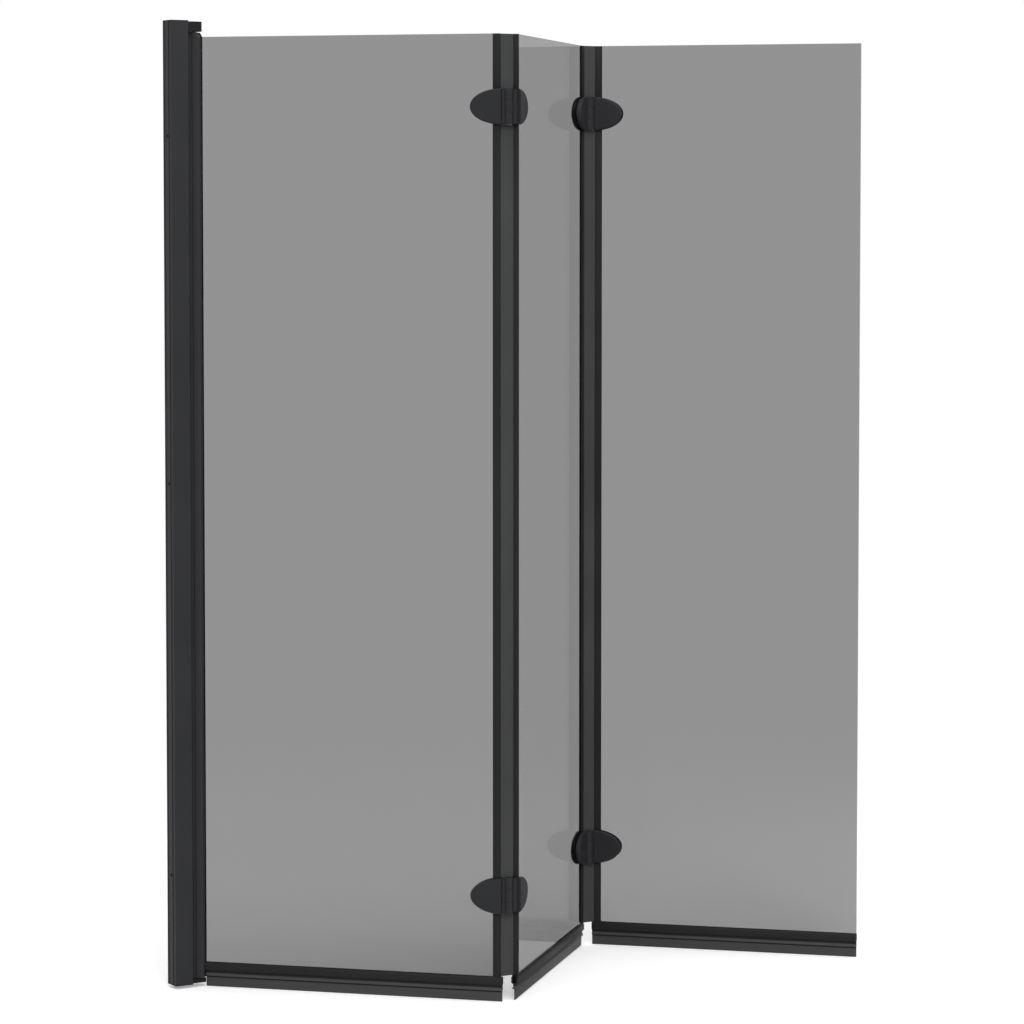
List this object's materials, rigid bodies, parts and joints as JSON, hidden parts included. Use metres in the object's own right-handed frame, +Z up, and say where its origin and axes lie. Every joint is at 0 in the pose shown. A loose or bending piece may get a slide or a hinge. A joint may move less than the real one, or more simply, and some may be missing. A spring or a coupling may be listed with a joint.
{
  "type": "folding bath screen",
  "caption": "Folding bath screen in grey tinted glass with a black wall profile, rounded black hinges, black joint seals and black bottom seals.",
  "frame": {"origin": "on the wall plane, midway between the lowest and the highest wall screw holes", "axes": "+X out of the wall into the room, +Z up, +Y along the wall"},
  "size_m": [0.9771, 0.3447, 1.38],
  "materials": {
    "black_profile": "satin black powder coat",
    "black_hinge": "satin black powder coat",
    "black_plastic": "fine satin moulded plastic",
    "seal_plastic": "smooth extruded PVC",
    "seal_rubber": "soft extruded PVC, slightly milky",
    "pad_rubber": "matt rubber",
    "steel": "plain stainless steel",
    "nylon": "black nylon",
    "tinted_glass": "clear toughened glass with a neutral grey tint"
  },
  "bodies": {
    "wall_frame": {"wall_channel": "black_profile", "channel_end_caps": "black_plastic", "adjusting_profile": "black_profile", "top_pivot_block": "black_plastic", "bottom_pivot_block": "black_plastic", "pivot_pins": "steel", "channel_screws": "steel", "block_screws": "steel"},
    "panel_1": {"pivot_profile": "black_profile", "pivot_bushes": "nylon", "glazing_gasket": "pad_rubber", "glass_panel_1": "tinted_glass", "bottom_seal_clip_1": "seal_plastic", "bottom_seal_blade_1": "seal_rubber", "edge_clip_1": "seal_plastic", "joint_web_12": "seal_rubber", "hinge_1_leaf_a": "black_hinge", "hinge_1_back_plate_a": "black_hinge", "hinge_1_covers_a": "black_hinge", "hinge_1_pads_a": "pad_rubber", "hinge_1_screws_a": "steel", "hinge_1_pins": "steel"},
    "panel_2": {"glass_panel_2": "tinted_glass", "bottom_seal_clip_2": "seal_plastic", "bottom_seal_blade_2": "seal_rubber", "edge_clip_2a": "seal_plastic", "edge_clip_2b": "seal_plastic", "joint_web_23": "seal_rubber", "hinge_1_leaf_b": "black_hinge", "hinge_1_back_plate_b": "black_hinge", "hinge_1_covers_b": "black_hinge", "hinge_1_pads_b": "pad_rubber", "hinge_1_screws_b": "steel", "hinge_1_bushes": "nylon", "hinge_2_leaf_a": "black_hinge", "hinge_2_back_plate_a": "black_hinge", "hinge_2_covers_a": "black_hinge", "hinge_2_pads_a": "pad_rubber", "hinge_2_screws_a": "steel", "hinge_2_pins": "steel"},
    "panel_3": {"glass_panel_3": "tinted_glass", "bottom_seal_clip_3": "seal_plastic", "bottom_seal_blade_3": "seal_rubber", "edge_clip_3": "seal_plastic", "hinge_2_leaf_b": "black_hinge", "hinge_2_back_plate_b": "black_hinge", "hinge_2_covers_b": "black_hinge", "hinge_2_pads_b": "pad_rubber", "hinge_2_screws_b": "steel", "hinge_2_bushes": "nylon"}
  },
  "joints": [
    {"name": "wall_pivot", "type": "hinge", "parent": "wall_frame", "child": "panel_1", "pos_m": [0.0365, 0, 0], "axis": [0, 0, 1], "range_deg": [-45, 45]},
    {"name": "fold_12", "type": "hinge", "parent": "panel_1", "child": "panel_2", "pos_m": [0.36934, -0.31912, 0], "axis": [0, 0, 1], "range_deg": [-90, 90], "deforming": ["joint_web_12"]},
    {"name": "fold_23", "type": "hinge", "parent": "panel_2", "child": "panel_3", "pos_m": [0.67756, -0.03833, 0], "axis": [0, 0, 1], "range_deg": [-90, 90], "deforming": ["joint_web_23"]}
  ]
}
